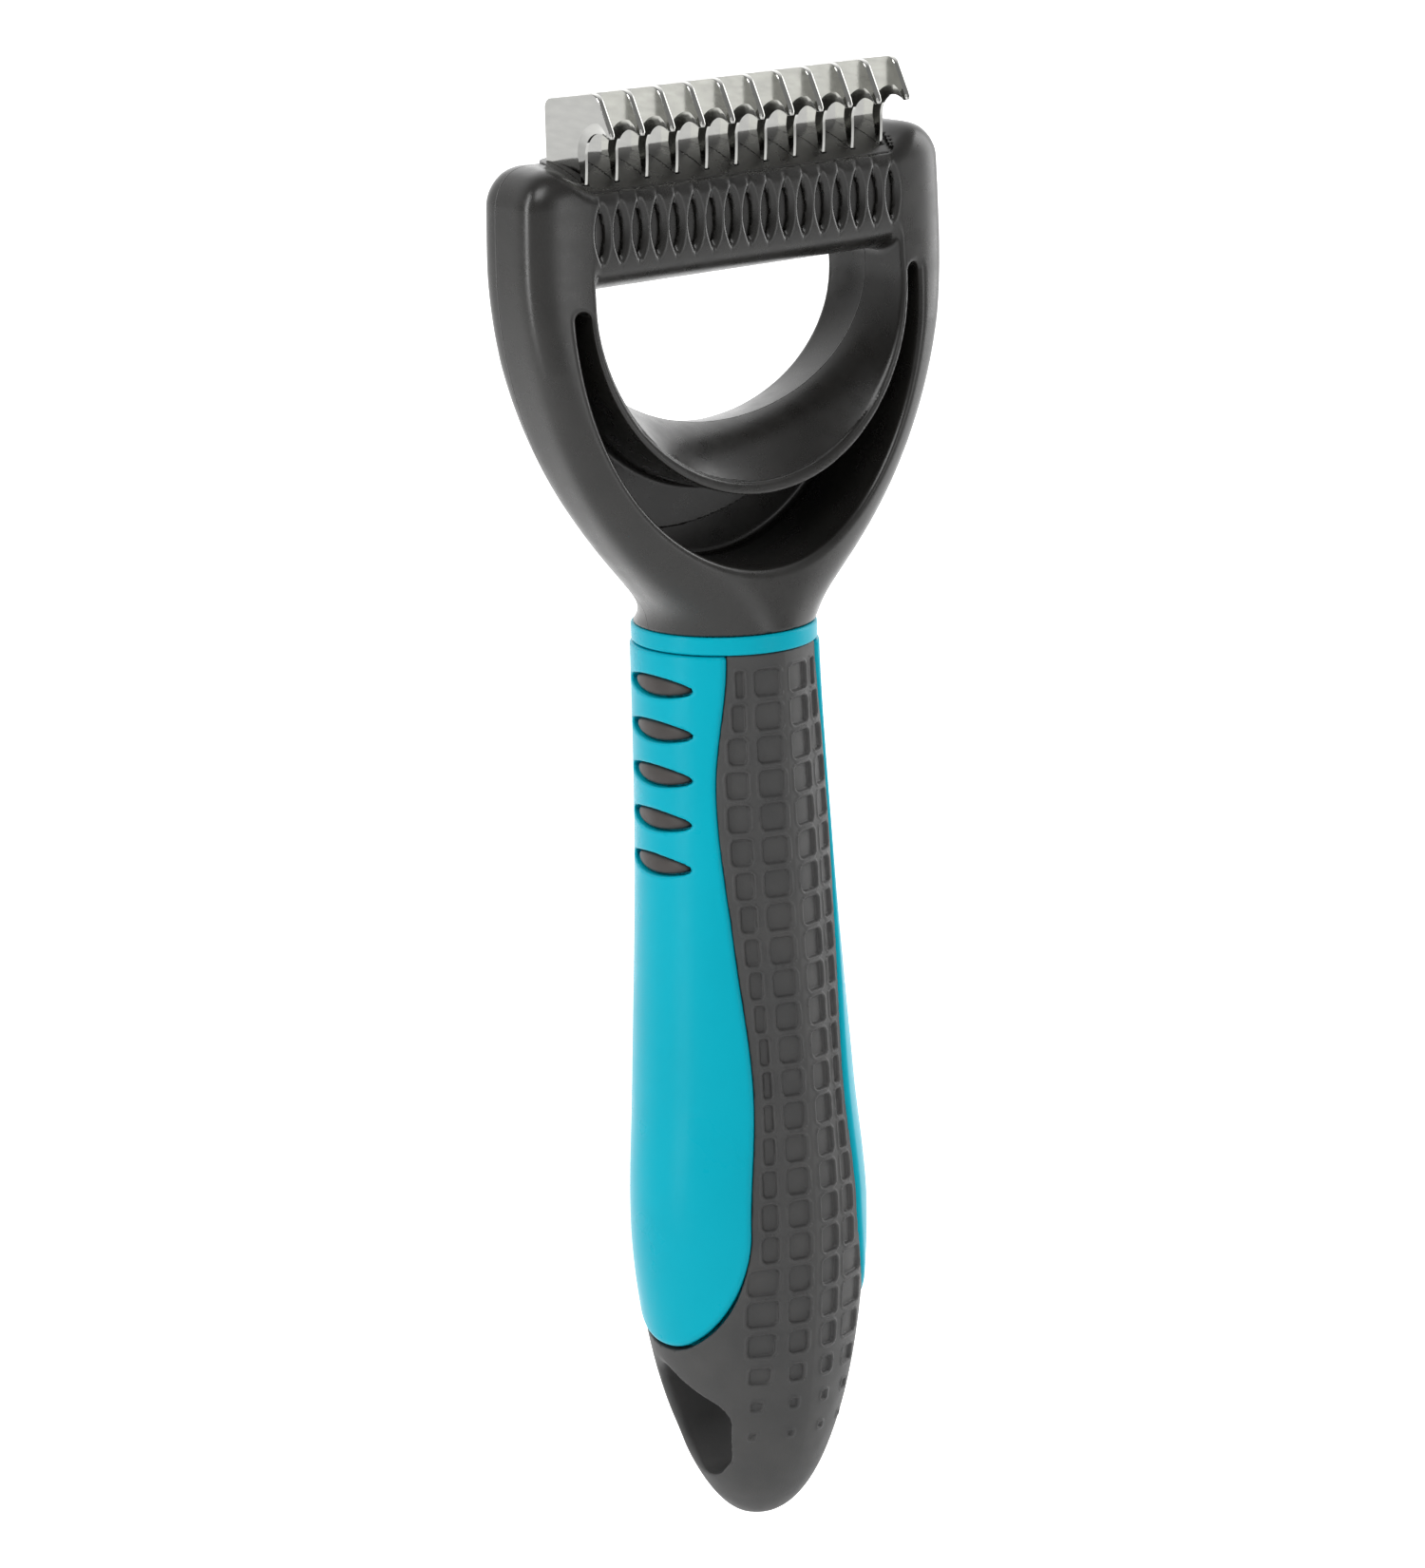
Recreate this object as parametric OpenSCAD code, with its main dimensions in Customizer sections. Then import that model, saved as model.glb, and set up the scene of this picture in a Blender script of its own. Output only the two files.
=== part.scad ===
// Undercoat rake for dogs: eleven hooked steel blades in a D-shaped head on a two-material hand grip.
// Upright: +Z runs up the handle to the blades, X runs along the blade row, -Y is the hooked side.
// The origin is on the handle's long axis, in the middle of the hand's hold.

/* [Blades] */
// Distance from one blade to the next
blade_pitch = 4.7; // [4.4:0.1:4.9]
// Thickness of a blade
blade_t = 0.8; // [0.6:0.1:1]
// Radius of the hook's inner arc
hook_r = 2.95; // [2.6:0.05:3.1]
// Height of the blades above their carrier
blade_rise = 11.7; // [11:0.1:12]
// Depth of a blade's plate from its stem to its back edge
plate_depth = 7.8; // [7:0.1:8.2]

/* [Head] */
// Width of the head across its arms
head_w = 65.8; // [63:0.2:68]
// Radius of the long curve down each arm's outer side
arm_curve_r = 57; // [55:0.5:59]
// Depth of the head in front of the handle axis, at the crossbar
head_front = 8.5; // [8.2:0.1:9]
// Depth of the head behind the handle axis
head_back = 5.8; // [5.4:0.1:6.2]
// Half width of the finger opening's front rim
rim_half_w = 24.4; // [23.6:0.1:24.6]
// Drop of the finger opening's front rim below its centre
rim_drop = 23.8; // [23:0.1:24]
// Wall of the ring around the finger opening
ring_wall = 1.6; // [1.3:0.1:1.8]
// Height of the crossbar
bar_h = 12.5; // [12.2:0.1:13]
// Number of grooves in the crossbar's front
flute_count = 17; // [9:2:17]
// Distance from one groove to the next
flute_pitch = 2.9; // [2.8:0.05:3]

/* [Handle] */
// Height of the head's seat on the handle above the origin
seat_z = 60; // [56:1:64]
// Half width of the handle at its upper end
grip_top_half_w = 11.5; // [11:0.1:12]
// Half width of the handle at its belly
belly_half_w = 15.7; // [14.5:0.1:16.5]
// Depth of the belly in front of the axis
belly_front = 16.1; // [15:0.1:17]
// Depth of the belly behind the axis
belly_back = 11.9; // [11.5:0.1:13]
// Length of the handle below the origin
tail_len = 59.4; // [58:0.2:63]
// Thickness of the rubber over the core
rubber_t = 2.6; // [2:0.1:3]
// Height of the collar ring
collar_h = 2.4; // [2:0.1:3]
// Distance from one rubber rib to the next
rib_pitch = 5.75; // [5:0.05:6]

/* [Hidden] */

CHARCOAL = "#454443";
BLACK_RUBBER = "#3f3f40";
TURQUOISE = "#00b2c8";
STEEL = "#c9cac6";

gap = 0.03;                              // moulding gap between pieces that fit together
blade_count = 11;
rib_count = 5;
ring_points = 48;

// Heights up the head
opening_z = seat_z + 43;                 // centre of the finger opening's arcs
bar_bottom_z = seat_z + 45.9;
bar_top_z = bar_bottom_z + bar_h;
shoulder_z = bar_top_z + 2.8;
wide_z = seat_z + 48;                    // where the arms are widest

// Blade section in Y and Z
hook_y = -8.8;
hook_z = bar_top_z + 3.9;
stem_y = hook_y + hook_r;
plate_back_y = stem_y + plate_depth;
blade_top_z = bar_top_z + blade_rise;
root_z = bar_top_z - 7.5;
rod_y = -1.6;
rod_z = bar_top_z - 5;
rod_r = 1;

// Carrier
carrier_half_w = (blade_count - 1) / 2 * blade_pitch + 2.3;
carrier_front_y = -7.3;
carrier_back_y = 4.1;
carrier_depth = 9.2;
carrier_corner_r = 2.6;

// Crown of the carrier: almost level with the shoulders at the back, lower towards the front
crest_z = shoulder_z - 0.15;
crown_fall = 0.0251;
function crown_z(y) = crest_z - crown_fall * pow(min(0, y - carrier_back_y), 2);

// Handle: height, half width, front depth and back depth at the stations down to the belly
belly_z = -18;
grip_top_front = 12.7;
grip_top_back = 11.8;
STATIONS = [
    [seat_z, grip_top_half_w, grip_top_front, grip_top_back],
    [30, 12.4, 13.7, 11.4],
    [0, 14.2, 15.4, 12.1],
    [belly_z, belly_half_w, belly_front, belly_back]];
tip_y = -0.5;

// Turquoise side panels: height and half angle around the handle, at stations from the collar down
PANEL = [[seat_z - collar_h, 51], [seat_z - 20, 42], [seat_z - 40, 50], [2, 58], [-17, 54]];
panel_end_z = seat_z - 93.4;

function clamp01(t) = min(1, max(0, t));
function smooth_max(a, b, k) = (a + b + sqrt((a - b) * (a - b) + k * k)) / 2;

// Smooth curve through rows of a table, by height, with level ends
function slope(rows, i, col) = i == 0 || i == len(rows) - 1 ? 0 :
    (rows[i + 1][col] - rows[i - 1][col]) / (rows[i + 1][0] - rows[i - 1][0]);
function row_at(rows, z, i = 0) = i >= len(rows) - 2 || z >= rows[i + 1][0] ? i : row_at(rows, z, i + 1);
function curve_at(rows, col, z) = let (
    i = row_at(rows, z),
    span = rows[i + 1][0] - rows[i][0],
    t = clamp01((z - rows[i][0]) / span))
    (1 + 2 * t) * (1 - t) * (1 - t) * rows[i][col] + t * (1 - t) * (1 - t) * span * slope(rows, i, col)
    + t * t * (3 - 2 * t) * rows[i + 1][col] - t * t * (1 - t) * span * slope(rows, i + 1, col);

// Handle section sizes at height z: [half width, front depth, back depth]
function tail_t(z) = clamp01((belly_z - z) / (tail_len + belly_z));
function tail_dome(z, power) = pow(1 - pow(tail_t(z), 1.8), power);
function grip_half_w(z) = z > belly_z ? curve_at(STATIONS, 1, z) : belly_half_w * tail_dome(z, 0.5);
function grip_front(z) = z > belly_z ? curve_at(STATIONS, 2, z)
    : -tip_y + (belly_front + tip_y) * tail_dome(z, 0.36);
function grip_back(z) = z > belly_z ? curve_at(STATIONS, 3, z)
    : tip_y + (belly_back - tip_y) * tail_dome(z, 0.64);

// Closed rounded section: n = 2 is an ellipse, more is squarer
function section(half_w, front, back, n, points = ring_points) = [for (i = [0:points - 1])
    let (c = cos(360 * i / points), s = sin(360 * i / points))
    [half_w * sign(c) * pow(abs(c), 2 / n),
        (back - front) / 2 + (back + front) / 2 * sign(s) * pow(abs(s), 2 / n)]];

// Convex solid between two sections of as many points, at heights lo and hi
module band(lo, hi, ring_lo, ring_hi) {
    n = len(ring_lo);
    hull() polyhedron(
        concat([for (p = ring_lo) [p.x, p.y, lo]], [for (p = ring_hi) [p.x, p.y, hi]]),
        concat([[for (i = [0:n - 1]) i], [for (i = [n - 1:-1:0]) n + i]],
            [for (i = [0:n - 1]) [i, n + i, n + (i + 1) % n, (i + 1) % n]]));
}

// Solid handle shape between two heights, inset all round
function grip_ring(z, inset) =
    section(grip_half_w(z) - inset, grip_front(z) - inset, grip_back(z) - inset, 2);
module grip_skin(z_low, z_high, inset, steps) {
    levels = [for (i = [0:steps]) z_low + (z_high - z_low) * (1 - cos(90 * i / steps))];
    for (i = [0:steps - 1])
        band(levels[i], levels[i + 1], grip_ring(levels[i], inset), grip_ring(levels[i + 1], inset));
}

// Head section sizes at height z
arm_curve_x = head_w / 2 - arm_curve_r;
neck_half_w = grip_top_half_w - 0.5;
function arm_arc(z) = arm_curve_x + sqrt(max(0, arm_curve_r * arm_curve_r - pow(min(0, z - wide_z), 2)));
top_r = 5;                               // rounding of the shoulders
function shoulder_round(z) = let (t = clamp01((z - shoulder_z + top_r) / top_r))
    top_r * (1 - sqrt(1 - t * t * 0.96));
function head_half_w(z) = smooth_max(neck_half_w, arm_arc(z), 3) - shoulder_round(z)
    - 0.5 * pow(clamp01((z - wide_z) / (shoulder_z - wide_z)), 2);
function head_front_at(z) = head_front + 4 * pow(clamp01((opening_z - z) / (opening_z - seat_z)), 0.8)
    - 0.7 * shoulder_round(z);
function head_back_at(z) = head_back - 1.4 * clamp01((wide_z - z) / 33) + 7.2 * exp(-(z - seat_z) / 4)
    - 0.7 * shoulder_round(z);
function head_squareness(z) = 2 + 3.5 * clamp01((z - seat_z) / 36);

function head_ring(z) = section(head_half_w(z), head_front_at(z), head_back_at(z), head_squareness(z));
module head_skin() {
    levels = concat([for (i = [0:9]) seat_z + 2.35 * i], [for (i = [0:5]) seat_z + 25.7 + 5.3 * i],
        [for (i = [0:5]) shoulder_z - top_r * cos(90 * i / 5)]);
    for (i = [0:len(levels) - 2])
        band(levels[i], levels[i + 1], head_ring(levels[i]), head_ring(levels[i + 1]));
}

// Half-oval outline in X and Z below the opening's centre, carried up to the crossbar
module oval_prism(half_w, drop, y_low, y_high) {
    translate([0, y_high, opening_z]) rotate([90, 0, 0]) linear_extrude(y_high - y_low)
        polygon(concat([for (a = [180:5:360]) [half_w * cos(a), drop * sin(a)]],
            [[half_w, bar_bottom_z - opening_z], [-half_w, bar_bottom_z - opening_z]]));
}

// The finger opening: a bell from the wide front rim to a shallower back
throat_drop = 17.8;
throat_half_w = rim_half_w - 0.6;
bell_back_y = -1;
module finger_opening() {
    oval_prism(throat_half_w, throat_drop, bell_back_y - 1, 20);
    hull() {
        oval_prism(rim_half_w, rim_drop, -20, -head_front - 1.2);
        oval_prism(throat_half_w, throat_drop, bell_back_y - 1, bell_back_y);
    }
}

// The curved pocket between the ring and the head's outer wall, open at the front
pocket_half_w = 27.4;
pocket_drop = 34.8;
pocket_floor_y = 2;
slot_top_z = opening_z + 0.4;
module pocket() {
    difference() {
        intersection() {
            oval_prism(pocket_half_w, pocket_drop, -20, pocket_floor_y);
            translate([-head_w, -30, 0]) cube([2 * head_w, 60, slot_top_z]);
        }
        oval_prism(rim_half_w + 0.9, rim_drop + ring_wall, -21, 10);
    }
}

// A lens-shaped groove, as a V-edged wheel would cut it
flute_wheel_r = 7.3;
flute_rim = 1.3;                         // height of the wheel's sloping rim
flute_half_w = 1.35;
flute_depth = 1.15;
flute_z = bar_bottom_z + 6.7;
module flute(x) {
    translate([x, -head_front - flute_wheel_r + flute_depth, flute_z]) rotate([0, 90, 0]) {
        cylinder(r1 = flute_wheel_r, r2 = flute_wheel_r - flute_rim, h = flute_half_w, $fn = 72);
        translate([0, 0, -flute_half_w])
            cylinder(r1 = flute_wheel_r - flute_rim, r2 = flute_wheel_r, h = flute_half_w, $fn = 72);
    }
}

// Seat for the carrier: a block with rounded corners
module carrier_seat() {
    ys = [carrier_front_y + carrier_corner_r, carrier_back_y - carrier_corner_r];
    hull() for (x = [-1, 1], y = ys)
        translate([x * (carrier_half_w - carrier_corner_r), y, bar_top_z - carrier_depth])
            cylinder(r = carrier_corner_r, h = carrier_depth + 5, $fn = 32);
}

// Crown line in Y and Z, from front to back
function crown_line(y_low, y_high) = let (n = 12)
    [for (i = [0:n]) let (y = y_low + (y_high - y_low) * i / n) [y, crown_z(y)]];

// Dip in the head's top between the shoulders, as high as the carrier's crown
module top_dip() {
    dip_half_w = carrier_half_w - 0.2;
    top = shoulder_z + 5;
    low = bar_top_z - 4;
    y_low = -head_front - 4;
    intersection() {
        translate([-head_w, 0, 0]) rotate([90, 0, 90]) linear_extrude(2 * head_w)
            polygon(concat([[y_low, top]], crown_line(y_low, carrier_back_y), [[20, crest_z], [20, top]]));
        translate([0, 30, 0]) rotate([90, 0, 0]) linear_extrude(60)
            polygon([[-dip_half_w - top + bar_top_z, top], [-dip_half_w - low + bar_top_z, low],
                [dip_half_w + low - bar_top_z, low], [dip_half_w + top - bar_top_z, top]]);
    }
}

tang_h = 24;
module neck_tang(grow) {
    band(seat_z - tang_h - grow, seat_z + 1, section(5.6 + grow, 6.2 + grow, 6.2 + grow, 4, 24),
        section(6.4 + grow, 7 + grow, 7 + grow, 4, 24));
}

module head_frame() {
    color(CHARCOAL) union() {
        difference() {
            head_skin();
            finger_opening();
            pocket();
            top_dip();
            carrier_seat();
            for (i = [0:flute_count - 1]) flute((i - (flute_count - 1) / 2) * flute_pitch);
        }
        neck_tang(0);
    }
}

module blade_slot(x, grow) {
    translate([x - blade_t / 2 - grow, stem_y - grow, root_z - grow])
        cube([blade_t + 2 * grow, plate_depth + 2 * grow, 30]);
}

function blade_x(i) = (i - (blade_count + 1) / 2) * blade_pitch;

module blade_carrier() {
    y_low = carrier_front_y + gap;
    y_high = carrier_back_y - gap;
    z_low = bar_top_z - carrier_depth + gap;
    color(CHARCOAL) difference() {
        translate([gap - carrier_half_w, 0, 0]) rotate([90, 0, 90])
            linear_extrude(2 * (carrier_half_w - gap))
            polygon(concat([[y_low, z_low]], crown_line(y_low, y_high), [[y_high, z_low]]));
        difference() {
            translate([-head_w, -20, 0]) cube([2 * head_w, 40, shoulder_z + 10]);
            carrier_corners();
        }
        for (i = [1:blade_count]) blade_slot(blade_x(i), gap);
        rod_cylinder(rod_r + gap, 2 * carrier_half_w - 2);
    }
}

// The carrier's rounded outline, as two crossed blocks and four round corners
module carrier_corners() {
    r = carrier_corner_r;
    z_low = bar_top_z - carrier_depth - 1;
    h = carrier_depth + 6;
    depth = carrier_back_y - carrier_front_y;
    translate([r - carrier_half_w, carrier_front_y, z_low])
        cube([2 * (carrier_half_w - r), depth, h]);
    translate([-carrier_half_w, carrier_front_y + r, z_low])
        cube([2 * carrier_half_w, depth - 2 * r, h]);
    for (x = [-1, 1], y = [carrier_front_y + r, carrier_back_y - r])
        translate([x * (carrier_half_w - r), y, z_low])
            cylinder(r = r - gap, h = h, $fn = 32);
}

module rod_cylinder(r, length) {
    translate([-length / 2, rod_y, rod_z]) rotate([0, 90, 0]) cylinder(r = r, h = length, $fn = 48);
}

// Blade outline in Y and Z: square plate, rounded back corner, sloping front and hooked tip
back_corner_r = 1.4;
top_rise = 1.2;                          // how much higher the front of the top edge is
shoulder_y = stem_y - 2.4;
hook_tip = [-11.2, hook_z + 2.7];
module blade_outline() {
    corner_y = plate_back_y - back_corner_r;
    corner_z = blade_top_z - top_rise - back_corner_r;
    difference() {
        union() {
            translate([stem_y, root_z]) square([plate_depth, corner_z - root_z]);
            polygon([[corner_y, root_z], [plate_back_y, corner_z], [corner_y, corner_z + back_corner_r],
                [shoulder_y, blade_top_z],
                [shoulder_y - 0.9, blade_top_z - 0.3], [shoulder_y - 1.3, blade_top_z - 0.9],
                hook_tip, [hook_tip[0] + 0.2, hook_z + 2.3],
                [hook_y, hook_z], [stem_y, hook_z], [stem_y, root_z]]);
            translate([corner_y, corner_z]) circle(r = back_corner_r, $fn = 48);
        }
        translate([hook_y, hook_z]) circle(r = hook_r, $fn = 72);
    }
}

module blade(i) {
    color(STEEL) difference() {
        translate([blade_x(i) - blade_t / 2, 0, 0]) rotate([90, 0, 90]) linear_extrude(blade_t)
            blade_outline();
        rod_cylinder(rod_r + gap, 4 * head_w);
    }
}

rod_length = (blade_count - 1) * blade_pitch + 3;
module blade_rod() {
    color(STEEL) rod_cylinder(rod_r, rod_length);
}

module collar_ring() {
    ring_grow = 0.1;
    color(TURQUOISE) difference() {
        translate([0, 0, seat_z - collar_h]) linear_extrude(collar_h - gap)
            polygon(grip_ring(seat_z, -ring_grow));
        translate([0, 0, seat_z - collar_h - 1]) linear_extrude(collar_h + 2)
            polygon(section(8.5, 9.3, 9.3, 2));
    }
}

// Side panel outline in Y and Z, from the collar down to its rounded end
function panel_half_angle(z) = z > PANEL[4][0] ? curve_at(PANEL, 1, z)
    : PANEL[4][1] * sqrt(max(0, 1 - pow((PANEL[4][0] - z) / (PANEL[4][0] - panel_end_z), 3)));
function panel_y(z, side) = (grip_back(z) - grip_front(z)) / 2
    + side * (grip_back(z) + grip_front(z)) / 2 * sin(panel_half_angle(z));
panel_steps = 30;
function panel_level(i) = panel_end_z
    + (seat_z - collar_h - panel_end_z) * (1 - cos(90 * i / panel_steps));
module panel_outline(grow) {
    polygon(concat(
        [for (i = [0:panel_steps]) [panel_y(panel_level(i), -1) - grow, panel_level(i) - grow]],
        [for (side = [-1, 1]) [panel_y(seat_z - collar_h, side) + side * grow, seat_z]],
        [for (i = [panel_steps:-1:1]) [panel_y(panel_level(i), 1) + grow, panel_level(i) - grow]]));
}

module through_x(half_w) {
    translate([-half_w, 0, 0]) rotate([90, 0, 90]) linear_extrude(2 * half_w) children();
}

// Rib lens: pointed at both ends, seen from the side of the handle
rib_half_len = 5.6;
rib_half_h = 1.5;
rib_t = 1.3;
function rib_z(i) = seat_z - 7 - (i - 1) * rib_pitch;
module rib_lens(i, grow) {
    arc_r = (rib_half_len * rib_half_len + rib_half_h * rib_half_h) / (2 * rib_half_h);
    translate([-0.8, rib_z(i)]) intersection() {
        translate([0, rib_half_h - arc_r]) circle(r = arc_r + grow, $fn = 96);
        translate([0, arc_r - rib_half_h]) circle(r = arc_r + grow, $fn = 96);
    }
}

core_end_z = panel_end_z - 2;
module handle_core() {
    top_z = seat_z - collar_h - gap;
    color(TURQUOISE) difference() {
        union() {
            grip_skin(core_end_z, top_z, rubber_t, 14);
            intersection() {
                grip_skin(core_end_z, top_z, 0, 26);
                through_x(30) panel_outline(0);
            }
            translate([0, 0, seat_z - 12]) linear_extrude(12 - gap) polygon(section(8.4, 9.2, 9.2, 2));
        }
        neck_tang(gap);
        for (i = [1:rib_count], side = [-1, 1]) rib_bed(i, side);
    }
}

// The band just under the skin where the ribs lie
module rib_band(i, outer_inset, inner_inset) {
    z = rib_z(i);
    difference() {
        band(z - 3, z + 3, grip_ring(z - 3, outer_inset), grip_ring(z + 3, outer_inset));
        band(z - 3.5, z + 3.5, grip_ring(z - 3.5, inner_inset), grip_ring(z + 3.5, inner_inset));
    }
}

module rib_bed(i, side) {
    intersection() {
        rib_band(i, -1, rib_t);
        scale([side, 1, 1]) rotate([90, 0, 90]) linear_extrude(30) rib_lens(i, gap);
    }
}

module rib(i, side) {
    color(BLACK_RUBBER) intersection() {
        rib_band(i, 0.1, rib_t - gap);
        scale([side, 1, 1]) rotate([90, 0, 90]) linear_extrude(30) rib_lens(i, 0);
    }
}

// Slanted oval hole through the tail, from side to side
module hang_hole() {
    corners = [[-1, -40], [-5.8, -43.2], [-4.6, -47.6], [-3.4, -48.8], [-1.2, -46]];
    through_x(30) hull() for (corner = corners)
        translate(corner) circle(r = 3.2, $fn = 32);
}

module grip_overmould() {
    top_z = seat_z - collar_h - gap;
    color(BLACK_RUBBER) difference() {
        grip_skin(-tail_len, top_z, 0, 26);
        grip_skin(core_end_z - gap, seat_z + 1, rubber_t - gap, 14);
        intersection() {
            grip_skin(core_end_z, top_z + 1, -1, 26);
            through_x(30) panel_outline(gap);
        }
        hang_hole();
    }
}

head_frame();
blade_carrier();
blade(1);  // blade_01
blade(2);  // blade_02
blade(3);  // blade_03
blade(4);  // blade_04
blade(5);  // blade_05
blade(6);  // blade_06
blade(7);  // blade_07
blade(8);  // blade_08
blade(9);  // blade_09
blade(10);  // blade_10
blade(11);  // blade_11
blade_rod();
handle_core();
collar_ring();
grip_overmould();
rib(1, -1);  // rib_left_1
rib(2, -1);  // rib_left_2
rib(3, -1);  // rib_left_3
rib(4, -1);  // rib_left_4
rib(5, -1);  // rib_left_5
rib(1, 1);  // rib_right_1
rib(2, 1);  // rib_right_2
rib(3, 1);  // rib_right_3
rib(4, 1);  // rib_right_4
rib(5, 1);  // rib_right_5
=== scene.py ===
import math

import bmesh
import bpy
import numpy as np
from mathutils import Matrix, Vector


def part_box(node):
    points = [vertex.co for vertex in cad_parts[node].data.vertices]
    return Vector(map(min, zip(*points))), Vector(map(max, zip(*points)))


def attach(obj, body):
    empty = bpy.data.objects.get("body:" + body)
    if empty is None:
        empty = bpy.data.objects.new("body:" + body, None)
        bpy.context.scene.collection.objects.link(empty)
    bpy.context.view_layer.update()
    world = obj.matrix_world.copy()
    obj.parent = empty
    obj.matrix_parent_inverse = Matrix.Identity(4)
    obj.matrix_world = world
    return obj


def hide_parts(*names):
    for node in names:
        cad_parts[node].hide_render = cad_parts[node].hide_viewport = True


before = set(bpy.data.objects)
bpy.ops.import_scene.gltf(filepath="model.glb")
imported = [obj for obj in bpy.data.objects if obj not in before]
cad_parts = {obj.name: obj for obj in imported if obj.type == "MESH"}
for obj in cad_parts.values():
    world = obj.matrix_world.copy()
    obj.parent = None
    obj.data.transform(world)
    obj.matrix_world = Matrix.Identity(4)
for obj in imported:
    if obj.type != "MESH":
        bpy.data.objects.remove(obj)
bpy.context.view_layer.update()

# ---------------------------------------------------------------------------------------------
# Sizes, in millimetres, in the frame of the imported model. +Z runs up the handle to the blades,
# X runs along the blade row, and -Y is the hooked side.
# ---------------------------------------------------------------------------------------------
MM = 0.001
GRID = 0.34       # spacing of the surface grid on the large mouldings
SKIN_GRID = 0.3   # and on the rubber with its small squares
FINE_GRID = 0.22  # and on the small ones


def mm_box(node):
    low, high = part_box(node)
    return np.array(low) / MM, np.array(high) / MM


BLADES = ["blade_%02d" % number for number in range(1, 12)]
HEAD_LOW, HEAD_HIGH = mm_box("head_frame")
CARRIER_LOW, CARRIER_HIGH = mm_box("blade_carrier")
BLADE_LOW, BLADE_HIGH = mm_box("blade_01")
GRIP_LOW, GRIP_HIGH = mm_box("grip_overmould")
COLLAR_LOW, COLLAR_HIGH = mm_box("collar_ring")

SEAT_Z = round(COLLAR_HIGH[2], 1)        # where the head stands on the handle
COLLAR_Z = round(COLLAR_LOW[2], 1)
TAIL_Z = GRIP_LOW[2]
HEAD_W = HEAD_HIGH[0] - HEAD_LOW[0]
TANG_Z = HEAD_LOW[2]

OPENING_Z = SEAT_Z + 43                  # centre of the finger opening's arcs
BAR_BOTTOM_Z = SEAT_Z + 45.3
BAR_TOP_Z = SEAT_Z + 58.4
SHOULDER_Z = BAR_TOP_Z + 2.8
CREST_Z = SHOULDER_Z - 0.15              # the carrier's crown, almost level with the shoulders
WIDE_Z = SEAT_Z + 48
HEAD_FRONT = 8.5
HEAD_BACK = 5.8


# ---------------------------------------------------------------------------------------------
# Fields: functions of x, y and z in millimetres, below zero inside the solid and close to the
# true distance near its surface. A moulding is a field, and a mesh is made from it at the end.
# ---------------------------------------------------------------------------------------------
def smooth_max(a, b, radius):
    """The larger of two fields, with the edge where they meet rounded off."""
    share = np.clip(0.5 + 0.5 * (a - b) / radius, 0, 1)
    return b + (a - b) * share + radius * share * (1 - share)


def smooth_min(a, b, radius):
    return -smooth_max(-a, -b, radius)


def smooth_step(t):
    t = np.clip(t, 0, 1)
    return t * t * (3 - 2 * t)


def as_distance(level, x, y, z, step=0.05):
    """Any smooth level function, scaled so that it measures distance near where it is zero."""
    value = level(x, y, z)
    slope_x = level(x + step, y, z) - value
    slope_y = level(x, y + step, z) - value
    slope_z = level(x, y, z + step) - value
    slope = np.sqrt(slope_x ** 2 + slope_y ** 2 + slope_z ** 2) / step
    return value / np.maximum(slope, 0.002)


def rounded_box(across, along, half_across, half_along, radius):
    """Distance to a rectangle with round corners, in two dimensions."""
    dx = np.abs(across) - half_across + radius
    dy = np.abs(along) - half_along + radius
    return np.hypot(np.maximum(dx, 0), np.maximum(dy, 0)) + np.minimum(np.maximum(dx, dy), 0) - radius


def polygon_distance(u, v, corners):
    """Distance to a polygon in two dimensions, below zero inside. Corners run anticlockwise."""
    nearest = None
    inside = None
    for (au, av), (bu, bv) in zip(corners, corners[1:] + corners[:1]):
        edge_u, edge_v = bu - au, bv - av
        length = math.hypot(edge_u, edge_v)
        along = np.clip(((u - au) * edge_u + (v - av) * edge_v) / length ** 2, 0, 1)
        away = np.hypot(u - au - along * edge_u, v - av - along * edge_v)
        side = ((v - av) * edge_u - (u - au) * edge_v) / length
        nearest = away if nearest is None else np.minimum(nearest, away)
        inside = side if inside is None else np.minimum(inside, side)
    return np.where(inside > 0, -nearest, nearest)


def smooth_curve(rows, z):
    """Smooth curve through (height, value) rows, from the top down, level at both ends."""
    heights = np.array([row[0] for row in rows], float)
    values = np.array([row[1] for row in rows], float)
    slopes = np.zeros(len(rows))
    slopes[1:-1] = (values[2:] - values[:-2]) / (heights[2:] - heights[:-2])
    i = np.clip(np.searchsorted(-heights, -z, side="right") - 1, 0, len(rows) - 2)
    span = heights[i + 1] - heights[i]
    t = np.clip((z - heights[i]) / span, 0, 1)
    start = (1 + 2 * t) * (1 - t) ** 2 * values[i] + t * (1 - t) ** 2 * span * slopes[i]
    return start + t * t * (3 - 2 * t) * values[i + 1] - t * t * (1 - t) * span * slopes[i + 1]


def section_field(sizes, x, y, z):
    """A body whose section at each height is a closed curve from an ellipse to a rounded box."""
    def level(x, y, z):
        half_w, front, back, power = sizes(z)
        u = np.abs(x) / half_w
        v = np.abs(y - (back - front) / 2) / ((back + front) / 2)
        return (u ** power + v ** power + 1e-12) ** (1 / power) - 1
    return as_distance(level, x, y, z)


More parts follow.
